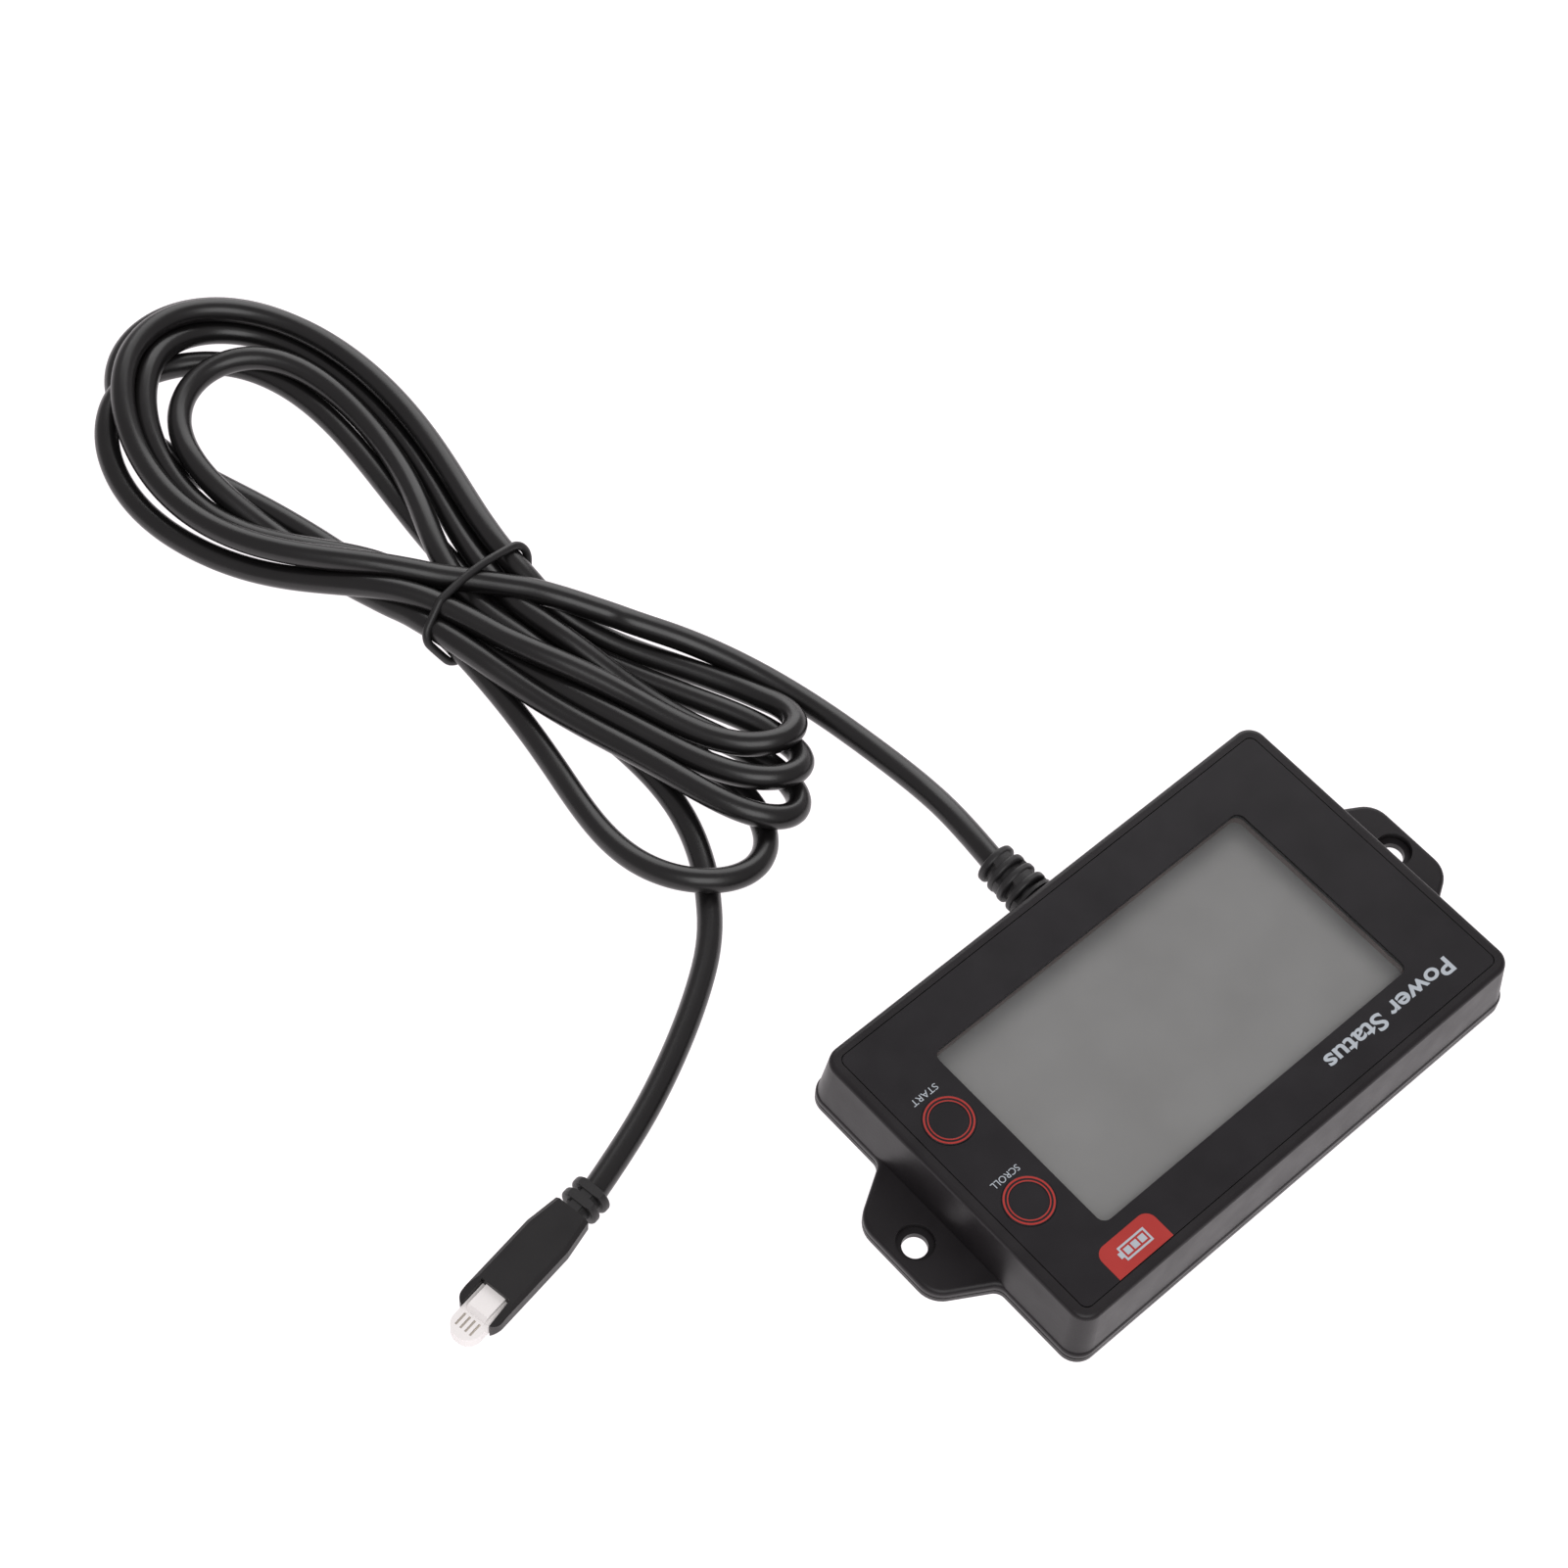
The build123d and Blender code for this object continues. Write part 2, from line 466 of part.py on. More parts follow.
def cord_hank():
    """The outer shape of the tied hank: a flat lobe with an eye, a bundle, and a saddle at the tie."""
    lobe = slab(make_face(Spline(*HANK_OUTLINE, periodic=True)), 0, HANK_HIGH)
    eye = slab(make_face(Spline(*HANK_EYE, periodic=True)), -1, HANK_HIGH + 1)
    saddle = Pos(SADDLE_MID[0], SADDLE_MID[1], SADDLE_HIGH / 2) * Box(SADDLE_X, SADDLE_Y, SADDLE_HIGH)
    saddle = fillet(saddle.edges().group_by(Axis.Z)[-1], 3.0)
    return lobe - eye + saddle - tie_waist()


# ---- plug ----------------------------------------------------------------
def placed(part):
    """A plug part, moved from the plug's own frame to where the plug lies."""
    return Pos(*PLUG_START) * Rot(0, 0, PLUG_TURN) * part


def rod_x(x_low, x_high, radius):
    """A cylinder along the plug's axis."""
    return Pos((x_low + x_high) / 2, 0, PLUG_AXIS_Z) * Rot(0, 90, 0) * Cylinder(radius, x_high - x_low)


def plug_strain_relief():
    """Two ribs on a core, bridged on top and below, and no taller than the plug."""
    relief = rod_x(0, RELIEF_LONG, RELIEF_CORE_R)
    for i in range(RELIEF_RIBS):
        rib = rod_x(i * RELIEF_PITCH, i * RELIEF_PITCH + RELIEF_RIB_THICK, RELIEF_R)
        relief += fillet(rib.edges().filter_by(GeomType.CIRCLE), 0.5)
    half, high = RELIEF_BRIDGE_Y / 2, 2 * PLUG_AXIS_Z
    relief += box((0.5, -half, 0.2), (RELIEF_LONG, half, high - 0.2))
    return relief & box((-1, -BODY_FRONT_Y, 0), (RELIEF_LONG, BODY_FRONT_Y, high))


def long_sides(face_edges, end):
    """The edges of a flat face that run along the plug, without those at its front."""
    return [e for e in face_edges if e.center().X < end - 2 and abs(e.center().Y) > 2]


def plug_body():
    """The overmoulded plug: tapered at the cord, bevelled all along, with two sloping prongs at the front."""
    start, end = RELIEF_LONG, RELIEF_LONG + BODY_LONG
    rear, front = BODY_REAR_Y / 2, BODY_FRONT_Y / 2
    taper = start + BODY_TAPER_END
    plan = [(start, -rear), (taper, -front), (end, -front), (end, front), (taper, front), (start, rear)]
    body = slab(make_face(Polyline(*plan, close=True)), 0, BODY_HIGH)
    body = chamfer(long_sides(body.faces().sort_by(Axis.Z)[-1].edges(), end), BODY_BEVEL)
    foot = body.faces().sort_by(Axis.Z)[0]
    body = chamfer(long_sides(foot.edges(), end), BODY_FOOT_Y, BODY_FOOT_HIGH, reference=foot)
    body &= slab(front_round(start, end), 0, BODY_HIGH)
    places = [(end - PRONG_LONG, BODY_HIGH), (end + 1, BODY_HIGH), (end + 1, BODY_HIGH - PRONG_SLOPE)]
    wedge = make_face(Polyline(*[(x, 0, z) for x, z in places], close=True))
    slope = extrude(wedge, BODY_FRONT_Y, both=True)
    notch = box((end - PRONG_LONG, -NOSE_Y / 2 - 0.1, -1), (end + 1, NOSE_Y / 2 + 0.1, BODY_HIGH + 1))
    return body - slope - notch - connector_outside()


def front_round(start, end):
    """A rectangle over the plug with its two front corners rounded."""
    sketch = Pos((start + end) / 2, 0) * Rectangle(end - start, BODY_FRONT_Y)
    return fillet(sketch.vertices().group_by(Axis.X)[-1], BODY_FRONT_R)


def nose_end():
    """How far the white connector reaches along the plug."""
    return RELIEF_LONG + BODY_LONG - PRONG_LONG + NOSE_LONG


def connector_outside():
    """The white connector without its slots: a tongue with a round nose and a rib along its top."""
    start, top = RELIEF_LONG + BODY_LONG - NOSE_SINK, NOSE_Z + NOSE_HIGH
    tongue = box((start, -NOSE_Y / 2, NOSE_Z), (nose_end(), NOSE_Y / 2, top))
    tongue = fillet(tongue.edges().filter_by(Axis.Z).group_by(Axis.X)[-1], NOSE_R)
    rib = box((start, -RIB_Y / 2, top), (nose_end() - RIB_SHORT, RIB_Y / 2, top + RIB_HIGH))
    rib = chamfer(rib.edges().group_by(Axis.Z)[-1].sort_by(Axis.X)[-1], RIB_BEVEL)
    return tongue + rib


def pin_y(i):
    """Where the i-th contact sits across the plug."""
    return (i - (PINS - 1) / 2) * PIN_PITCH


def pin_boxes(grow, top):
    """The four contacts near the nose, or the slots that they sit in."""
    half, start, end = PIN_WIDE / 2 + grow, nose_end() - PIN_TIP - PIN_LONG, nose_end() - PIN_TIP
    low = NOSE_Z + NOSE_HIGH - PIN_DEEP
    return [box((start, pin_y(i) - half, low), (end + grow, pin_y(i) + half, top)) for i in range(PINS)]


def plug_contacts():
    """The four contacts, a little below the top of the tongue."""
    return Compound(children=pin_boxes(0.0, NOSE_Z + NOSE_HIGH - PIN_WIDE))


def plug_connector():
    """The white four-way connector that sticks out between the prongs."""
    return connector_outside() - (Part() + pin_boxes(PIN_GAP, NOSE_Z + NOSE_HIGH + 1))


def main():
    """Builds every piece and writes each one to its own file."""
    block = case_block()
    head_low = BOARD_Z - BOARD_HEAD_HIGH
    pieces = {
        "front_housing": front_housing(block),
        "back_cover": back_cover(block),
        "faceplate_overlay": faceplate_overlay(),
        "display_window": display_window(),
        "lcd_gasket": lcd_gasket(),
        "lcd_glass": glass_plate(0, GLASS_TOP - GLASS_THICK, GLASS_TOP),
        "lcd_frame": lcd_frame(),
        "backlight_panel": plate(
            LIGHT_X, LIGHT_Y, 0.5, BOARD_TOP + 0.1, BOARD_TOP + 0.1 + LIGHT_THICK, GLASS_MID),
        "contact_strips": contact_strips(),
        "circuit_board": circuit_board(),
        "microcontroller": microcontroller(),
        "board_components": board_components(),
        "case_screws": screws(CASE_SCREWS, 0.1, CASE_HEAD_HIGH, CASE_HEAD_R, COVER_Z + CASE_SCREW_LONG - 1),
        "board_screws": screws(BOARD_SCREWS, head_low, BOARD_Z, BOARD_HEAD_R, head_low + BOARD_SCREW_LONG),
        "cable_header": cable_header(),
        "cable_header_plug": cable_header_plug(),
        "inner_leads": inner_leads(),
        "cable_boot": cable_boot(),
        "cord_device_tail": cord_tube("device tail", DEVICE_ROUTE),
        "cord_hank": cord_hank(),
        "hank_tie": tie_ring(),
        "cord_plug_tail": cord_tube("plug tail", PLUG_ROUTE),
        "plug_strain_relief": placed(plug_strain_relief()),
        "plug_body": placed(plug_body()),
        "plug_connector": placed(plug_connector()),
        "plug_contacts": placed(plug_contacts()),
    }
    for name, y in KEY_Y.items():
        pieces[name + "_key_pad"] = key_pad(y)
        pieces[name + "_switch_stem"] = switch_stem(y)
        pieces[name + "_switch_base"] = switch_base(y)
    os.makedirs("parts", exist_ok=True)
    for name, piece in pieces.items():
        export_step(piece, f"parts/{name}.step")


main()
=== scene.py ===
import bmesh
import bpy
import json
import numpy as np
from math import ceil, cos, pi, sin
from mathutils import Matrix, Vector


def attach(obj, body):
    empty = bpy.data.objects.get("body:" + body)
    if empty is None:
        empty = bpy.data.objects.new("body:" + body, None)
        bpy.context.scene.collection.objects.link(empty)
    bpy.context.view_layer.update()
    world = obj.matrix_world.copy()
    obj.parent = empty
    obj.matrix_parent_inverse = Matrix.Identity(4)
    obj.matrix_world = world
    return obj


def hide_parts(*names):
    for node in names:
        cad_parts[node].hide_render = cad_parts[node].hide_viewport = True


# Looks of the remote battery display: everything is in metres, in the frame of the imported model.
# +X is the key side, +Y the top edge of the face, +Z out of the screen; z = 0 is the floor.

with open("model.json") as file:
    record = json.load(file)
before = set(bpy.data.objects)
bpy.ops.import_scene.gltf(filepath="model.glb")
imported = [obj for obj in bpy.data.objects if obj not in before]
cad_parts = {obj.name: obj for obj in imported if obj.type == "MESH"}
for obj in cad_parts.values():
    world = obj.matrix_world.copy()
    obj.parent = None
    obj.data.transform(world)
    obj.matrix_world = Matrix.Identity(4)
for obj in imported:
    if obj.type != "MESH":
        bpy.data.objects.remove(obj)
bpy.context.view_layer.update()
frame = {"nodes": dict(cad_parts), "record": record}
NODES = frame["nodes"]

# ---- camera --------------------------------------------------------------
CAMERA_AT = (0.25366, 0.14624, 0.53978)
CAMERA_RIGHT = (-0.7433, 0.6669, 0.0519)
CAMERA_VIEW = (-0.3793, -0.3563, -0.8539)
CAMERA_LENS, CAMERA_SENSOR = 83.6, 36.0      # millimetres
CAMERA_NEAR, CAMERA_FAR = 0.01, 10.0

# ---- cord ----------------------------------------------------------------
CORD_D = 0.0044
DEVICE_ROUTE = [
    (0.0000, -0.0418, 0.0070), (-0.0014, -0.0514, 0.0062), (-0.0024, -0.0615, 0.0038),
    (-0.0018, -0.0730, 0.0024), (0.0001, -0.0855, 0.0023), (0.0034, -0.0980, 0.0027),
    (0.0087, -0.1090, 0.0046), (0.0154, -0.1178, 0.0074),
]
PLUG_ROUTE = [
    (0.0376, -0.0724, 0.0023), (0.0446, -0.0632, 0.0023), (0.0542, -0.0562, 0.0023),
    (0.0660, -0.0496, 0.0023), (0.0786, -0.0440, 0.0025), (0.0899, -0.0404, 0.0028),
]

# The hank is five turns. Each turn runs from the tie round a wide lobe (-Y), back through the tie and round
# a narrow fold (+Y). A lobe follows LOBE: its share of the way to the tip, and of the half width.
TIE_Y = -0.1385
TIE_BEFORE, TIE_AFTER = 0.006, 0.002     # a lobe comes back to the tie through points this far from it
TIE_TO_FOLD_Y = -0.138                   # where a strand leaves the tie for its fold
LOBE = [
    (0.27, 0.38), (0.40, 0.71), (0.56, 0.94), (0.71, 1.00), (0.86, 0.88), (0.96, 0.58), (1.02, 0.20),
    (1.02, -0.15), (0.965, -0.50), (0.84, -0.82), (0.66, -1.00), (0.46, -1.00), (0.25, -0.86),
]
BOW_END = 0.8              # share of the way to the tip where a leg's own bow ends
# One row for each turn: where it enters the lobe, the lobe's middle x, half width, tip y, the bow of the
# lower and upper legs, the heights of lower leg, tip and upper leg, and where it leaves the lobe.
LOBES = [
    dict(enter=[(0.0266, -0.1340, 0.0096), (0.0322, -0.1412, 0.0086)],
         middle=0.0378, half=0.0222, tip=-0.2215,
         bows=(0.0015, 0.0004), heights=(0.0076, 0.0086, 0.0086), leave=(0.0243, 0.0080)),
    dict(enter=[(0.0352, -0.1330, 0.0080), (0.0398, -0.1422, 0.0076)],
         middle=0.0453, half=0.0212, tip=-0.2174,
         bows=(-0.0031, 0.0031), heights=(0.0054, 0.0022, 0.0022), leave=(0.0305, 0.0038)),
    dict(enter=[(0.0365, -0.1325, 0.0038), (0.0386, -0.1445, 0.0038)],
         middle=0.0372, half=0.0196, tip=-0.2200,
         bows=(0.0006, 0.0010), heights=(0.0034, 0.0044, 0.0044), leave=(0.0288, 0.0080)),
    dict(enter=[(0.0406, -0.1325, 0.0080), (0.0444, -0.1430, 0.0060)],
         middle=0.0376, half=0.0144, tip=-0.2108,
         bows=(0.0024, 0.0012), heights=(0.0022, 0.0050, 0.0066), leave=(0.0330, 0.0038)),
    dict(enter=[(0.0416, -0.1325, 0.0038), (0.0432, -0.1445, 0.0038)],
         middle=0.0364, half=0.0208, tip=-0.2268,
         bows=(-0.0048, 0.0000), heights=(0.0022, 0.0022, 0.0022), leave=(0.0243, 0.0038)),
]
# One list for each fold between two turns: out along the floor, round, and back on top.
FOLDS = [
    [
        (0.0165, -0.1120, 0.0022), (0.0122, -0.1040, 0.0022), (0.0086, -0.0965, 0.0022),
        (0.0060, -0.0890, 0.0023), (0.0062, -0.0826, 0.0036), (0.0102, -0.0789, 0.0056),
        (0.0140, -0.0834, 0.0069), (0.0174, -0.0910, 0.0070), (0.0224, -0.1010, 0.0070),
        (0.0273, -0.1120, 0.0070),
    ],
    [
        (0.0209, -0.1120, 0.0022), (0.0174, -0.1020, 0.0022), (0.0133, -0.0920, 0.0022),
        (0.0105, -0.0840, 0.0023), (0.0100, -0.0772, 0.0029), (0.0134, -0.0728, 0.0046),
        (0.0168, -0.0770, 0.0058), (0.0214, -0.0850, 0.0062), (0.0268, -0.0970, 0.0064),
        (0.0316, -0.1120, 0.0066),
    ],
    [
        (0.0252, -0.1120, 0.0022), (0.0220, -0.0990, 0.0022), (0.0188, -0.0890, 0.0022),
        (0.0158, -0.0810, 0.0023), (0.0142, -0.0730, 0.0026), (0.0173, -0.0672, 0.0036),
        (0.0206, -0.0718, 0.0042), (0.0240, -0.0817, 0.0046), (0.0290, -0.0946, 0.0054),
        (0.0346, -0.1120, 0.0064),
    ],
    [
        (0.0292, -0.1120, 0.0022), (0.0254, -0.0980, 0.0022), (0.0220, -0.0860, 0.0022),
        (0.0212, -0.0759, 0.0024), (0.0243, -0.0688, 0.0034), (0.0308, -0.0662, 0.0056),
        (0.0386, -0.0694, 0.0058), (0.0444, -0.0779, 0.0036), (0.0460, -0.0880, 0.0023),
        (0.0440, -0.1000, 0.0022), (0.0402, -0.1120, 0.0022),
    ],
]
HANK_START = (0.0210, -0.1259, 0.0094)
HANK_END = [
    (0.0295, -0.1250, 0.0026), (0.0322, -0.1120, 0.0022), (0.0309, -0.0988, 0.0022),
    (0.0300, -0.0884, 0.0022), (0.0318, -0.0800, 0.0022),
]
LINK_STEP = 0.004          # spacing of the points that settle
LINK_SAMPLES = 12          # samples for each control point when a line is read off
FREE_TAIL = 0.008          # the last stretch of the device tail, which settles with the hank
OVERLAP = 3                # settled points left out where the hank takes over from the device tail
STIFFNESS = 0.45           # share of an uneven bend that one round evens out
SPRING = 0.25              # share of a wrong spacing that one round puts right at each end
PUSH = 0.6                 # share of an overlap that one round clears
NEIGHBOURS = 2.2           # strands nearer along the cord than this many diameters may touch
# rounds, pull back to the laid height, pull back to the laid plan, fall in one round
SETTLE_STAGES = [(250, 0.05, 0.04, 0.0), (175, 0.0, 0.012, 0.000015), (75, 0.0, 0.0, 0.000004)]

TIE_WIRE_D = 0.0015
TIE_LOW, TIE_HIGH = (0.0209, TIE_WIRE_D), (0.0457, 0.0111)   # room inside the tie: x and z
TIE_REACH = 0.009          # how far from the tie its squeeze is felt
TIE_POINTS = 28
TIE_MIDDLE = (0.0333, TIE_Y, 0.0060)
TIE_SPREAD = 0.016         # strands further from the middle than this pass outside the tie
TIE_TURN, TIE_LEAN = 0.10, 0.62          # slopes of the tie's plane in plan and from the side


def control_line(points):
    """The smooth line that a clamped quadratic spline draws from its control points."""
    points = np.array(points, float)
    middles = (points[:-1] + points[1:]) / 2
    starts = np.vstack([points[:1], middles[1:-1]])
    ends = np.vstack([middles[1:-1], points[-1:]])
    share = np.linspace(0, 1, LINK_SAMPLES, endpoint=False)[:, None]
    spans = [
        (1 - share) ** 2 * start + 2 * share * (1 - share) * corner + share ** 2 * end
        for start, corner, end in zip(starts, points[1:-1], ends)
    ]
    return np.vstack(spans + [points[-1:]])


def line_length(line):
    """The length of a line of points."""
    return float(np.linalg.norm(np.diff(line, axis=0), axis=1).sum())


def evenly_spaced(line, step):
    """The same line with its points one step apart."""
    along = np.concatenate([[0.0], np.cumsum(np.linalg.norm(np.diff(line, axis=0), axis=1))])
    places = np.linspace(0, along[-1], round(along[-1] / step) + 1)
    return np.stack([np.interp(places, along, line[:, axis]) for axis in range(3)], axis=1)


def lobe_points(turn):
    """The control points of one lobe, from where it leaves the tie to where it comes back."""
    points = list(turn["enter"])
    reach = TIE_Y - turn["tip"]
    for i, (along, across) in enumerate(LOBE):
        height = np.interp(i / (len(LOBE) - 1), (0, 0.5, 1), turn["heights"])
        bow = turn["bows"][0 if across > 0 else 1] * sin(pi * min(along / BOW_END, 1.0))
        points.append((turn["middle"] + across * turn["half"] + bow, TIE_Y - along * reach, height))
    x, height = turn["leave"]
    points.append((x, TIE_Y - TIE_BEFORE, height))
    points.append((x, TIE_Y + TIE_AFTER, height))
    return points


def between(first, second):
    """The point halfway from one to the other."""
    return tuple((a + b) / 2 for a, b in zip(first, second))


def hank_points():
    """The control points of the whole hank as it is laid, turn by turn."""
    points = [HANK_START]
    for i, turn in enumerate(LOBES):
        points += lobe_points(turn)
        if i < len(FOLDS):
            fold = FOLDS[i]
            x, height = turn["leave"]
            points.append(between((x, TIE_TO_FOLD_Y, height), fold[0]))
            points += fold
            points.append(between(fold[-1], LOBES[i + 1]["enter"][0]))
    return points + HANK_END


def stiffen(line, free):
    """Spreads each bend over its neighbours, as a stiff cord does."""
    bend = np.zeros_like(line)
    bend[1:-1] = (line[:-2] + line[2:]) / 2 - line[1:-1]
    uneven = np.zeros_like(line)
    uneven[1:-1] = (bend[:-2] + bend[2:]) / 2 - bend[1:-1]
    line -= STIFFNESS * uneven * free


def keep_spacing(line, free, step):
    """Pulls neighbours back to their distance."""
    links = np.diff(line, axis=0)
    lengths = np.linalg.norm(links, axis=1, keepdims=True)
    pull = SPRING * (lengths - step) * links / lengths
    line[:-1] += pull * free[:-1]
    line[1:] -= pull * free[1:]


def push_apart(line, free, far):
    """Moves strands that overlap away from each other."""
    offsets = line[:, None] - line[None]
    distances = np.sqrt((offsets ** 2).sum(2)) + 1e-9
    first, second = np.nonzero(far & (distances < CORD_D))
    near = distances[first, second][:, None]
    push = PUSH * (CORD_D - near) * offsets[first, second] / near
    weight = np.maximum(free[first] + free[second], 1e-9)
    moves = np.zeros_like(line)
    counts = np.zeros((len(line), 1))
    np.add.at(moves, first, push * free[first] / weight)
    np.add.at(moves, second, -push * free[second] / weight)
    np.add.at(counts, first, 1.0)
    np.add.at(counts, second, 1.0)
    line += moves / np.sqrt(np.maximum(counts, 1))


def squeeze(line, free):
    """Keeps every strand above the floor, and inside the tie where it passes through."""
    loose = free[:, 0] > 0
    line[loose, 2] = np.maximum(line[loose, 2], CORD_D / 2)
    tied = loose & (np.abs(line[:, 1] - TIE_Y) < TIE_REACH)
    line[tied, 0] = np.clip(line[tied, 0], TIE_LOW[0] + CORD_D / 2, TIE_HIGH[0] - CORD_D / 2)
    line[tied, 2] = np.clip(line[tied, 2], TIE_LOW[1] + CORD_D / 2, TIE_HIGH[1] - CORD_D / 2)


def settled(laid, free):
    """The laid line once its strands have pushed apart and come to rest on the floor and each other."""
    line = laid.copy()
    count = len(line)
    step = line_length(line) / (count - 1)
    places = np.arange(count)
    apart = np.abs(places[:, None] - places[None]) > ceil(NEIGHBOURS * CORD_D / step)
    far = np.triu(apart)
    for rounds, hold_height, hold_plan, fall in SETTLE_STAGES:
        for _ in range(rounds):
            line[:, 2:] -= fall * free
            stiffen(line, free)
            stiffen(line, free)
            line[:, :2] += hold_plan * (laid[:, :2] - line[:, :2]) * free
            line[:, 2:] += hold_height * (laid[:, 2:] - line[:, 2:]) * free
            keep_spacing(line, free, step)
            keep_spacing(line, free, step)
            push_apart(line, free, far)
            squeeze(line, free)
    return line


def cord_points():
    """The cord's control points: the device tail, the settled hank and the plug tail."""
    laid = evenly_spaced(control_line(DEVICE_ROUTE + hank_points() + PLUG_ROUTE), LINK_STEP)
    first = round((line_length(control_line(DEVICE_ROUTE)) - FREE_TAIL) / LINK_STEP)
    last = len(laid) - round(line_length(control_line(PLUG_ROUTE)) / LINK_STEP)
    free = np.zeros((len(laid), 1))
    free[first:last] = 1.0
    rest = settled(laid, free)
    turns = rest[first + OVERLAP:last - 1]
    return DEVICE_ROUTE + [tuple(p) for p in turns] + PLUG_ROUTE, rest


# ---- materials -----------------------------------------------------------
def new_material(name):
    """An empty node material and its principled shader."""
    material = bpy.data.materials.new(name)
    material.use_nodes = True
    return material, material.node_tree.nodes["Principled BSDF"]


def add_node(material, kind, **inputs):
    """A node with some of its inputs set."""
    node = material.node_tree.nodes.new(kind)
    for key, value in inputs.items():
        node.inputs[key].default_value = value
    return node


def link(material, source, target):
    """Joins an output socket to an input socket."""
    material.node_tree.links.new(source, target)


def object_noise(material, size, detail=2.0):
    """Noise fixed to the object, with features of about that size in metres."""
    place = add_node(material, "ShaderNodeTexCoord")
    noise = add_node(material, "ShaderNodeTexNoise", Scale=1.0 / size, Detail=detail)
    link(material, place.outputs["Object"], noise.inputs["Vector"])
    return noise


NOISE_LOW, NOISE_HIGH = 0.3, 0.7         # the range that most of a noise's values fall in


def spread_value(material, source, low, high):
    """A noise value carried to a range."""
    carry = material.node_tree.nodes.new("ShaderNodeMapRange")
    carry.inputs["From Min"].default_value = NOISE_LOW
    carry.inputs["From Max"].default_value = NOISE_HIGH
    carry.inputs["To Min"].default_value = low
    carry.inputs["To Max"].default_value = high
    link(material, source, carry.inputs["Value"])
    return carry.outputs["Result"]


def tinted(material, shader, colour, spread, size):
    """The base colour, drifting a little over the surface."""
    noise = object_noise(material, size, detail=4.0)
    ramp = material.node_tree.nodes.new("ShaderNodeValToRGB")
    dark, light = ramp.color_ramp.elements
    dark.position, light.position = NOISE_LOW, NOISE_HIGH
    dark.color = [c * (1 - spread) for c in colour] + [1]
    light.color = [min(c * (1 + spread), 1) for c in colour] + [1]
    link(material, noise.outputs["Fac"], ramp.inputs["Fac"])
    link(material, ramp.outputs["Color"], shader.inputs["Base Color"])


def grained(material, shader, size, depth):
    """Fine relief of that size and depth, in metres."""
    noise = object_noise(material, size, detail=3.0)
    bump = add_node(material, "ShaderNodeBump", Strength=1.0, Distance=depth)
    link(material, noise.outputs["Fac"], bump.inputs["Height"])
    link(material, bump.outputs["Normal"], shader.inputs["Normal"])


def moulded(name, colour, roughness, grain, depth, spread=0.15, patch=0.012, specular=0.5):
    """A moulded surface: drifting colour and gloss over a fine grain."""
    material, shader = new_material(name)
    shader.inputs["Specular IOR Level"].default_value = specular
    tinted(material, shader, colour, spread, patch)
    gloss = object_noise(material, patch / 2)
    low, high = roughness
    link(material, spread_value(material, gloss.outputs["Fac"], low, high), shader.inputs["Roughness"])
    grained(material, shader, grain, depth)
    return material


def metal(name, colour, roughness, grain):
    """A plated metal with fine rolling marks."""
    material = moulded(name, colour, roughness, grain, 0.000004, spread=0.08)
    material.node_tree.nodes["Principled BSDF"].inputs["Metallic"].default_value = 1.0
    return material


def clear_window():
    """The clear pane: nearly invisible, with a soft gloss."""
    material = moulded("clear_window", (0.30, 0.31, 0.31), (0.12, 0.2), 0.0004, 0.000001)
    material.node_tree.nodes["Principled BSDF"].inputs["Alpha"].default_value = 0.14
    return material


# the window hole, which the film edge lines, and the painted shade along two of its edges: the shadow of
# the window's walls, painted into the display's colour
REVEAL_X, REVEAL_Y, REVEAL_CORNER = (-0.03565, 0.03585), (-0.01975, 0.02035), 0.0018
REVEAL_Z, REVEAL_THICK = (0.01083, 0.01218), 0.0001
# width of the painted shade on the display, and how dark it is at the window's edge
PAINTED_SHADE_WIDTH, PAINTED_SHADE_DEPTH = 0.0050, 0.20


def painted_edge_shade(material, coordinate, edge):
    """Painted shade: one over most of the display, falling off softly towards one edge of the window, where
    its wall would cast shadow.
    """
    carry = material.node_tree.nodes.new("ShaderNodeMapRange")
    carry.interpolation_type = "SMOOTHSTEP"
    carry.inputs["From Min"].default_value = edge - PAINTED_SHADE_WIDTH / 2
    carry.inputs["From Max"].default_value = edge + PAINTED_SHADE_WIDTH
    carry.inputs["To Min"].default_value = PAINTED_SHADE_DEPTH
    carry.inputs["To Max"].default_value = 1.0
    link(material, coordinate, carry.inputs["Value"])
    return carry.outputs["Result"]


def lcd_glass():
    """The unlit display: a grey satin polariser, with painted shade that darkens it towards two edges of
    the window.
    """
    material = moulded(
        "lcd_glass", (0.246, 0.244, 0.236), (0.45, 0.55), 0.0006, 0.000001, spread=0.02, patch=0.03)
    shader = material.node_tree.nodes["Principled BSDF"]
    tint = shader.inputs["Base Color"].links[0].from_socket
    place = add_node(material, "ShaderNodeTexCoord")
    apart = add_node(material, "ShaderNodeSeparateXYZ")
    link(material, place.outputs["Object"], apart.inputs["Vector"])
    # painted shade: the display's colour is darkened towards the -X and -Y edges of the window, standing in
    # for the walls' shadow
    shade_x = painted_edge_shade(material, apart.outputs["X"], REVEAL_X[0])
    shade_y = painted_edge_shade(material, apart.outputs["Y"], REVEAL_Y[0])
    both = material.node_tree.nodes.new("ShaderNodeMath")
    both.operation = "MULTIPLY"
    link(material, shade_x, both.inputs[0])
    link(material, shade_y, both.inputs[1])
    shaded = material.node_tree.nodes.new("ShaderNodeVectorMath")
    shaded.operation = "SCALE"
    link(material, tint, shaded.inputs[0])
    link(material, both.outputs["Value"], shaded.inputs["Scale"])
    link(material, shaded.outputs["Vector"], shader.inputs["Base Color"])
    return material


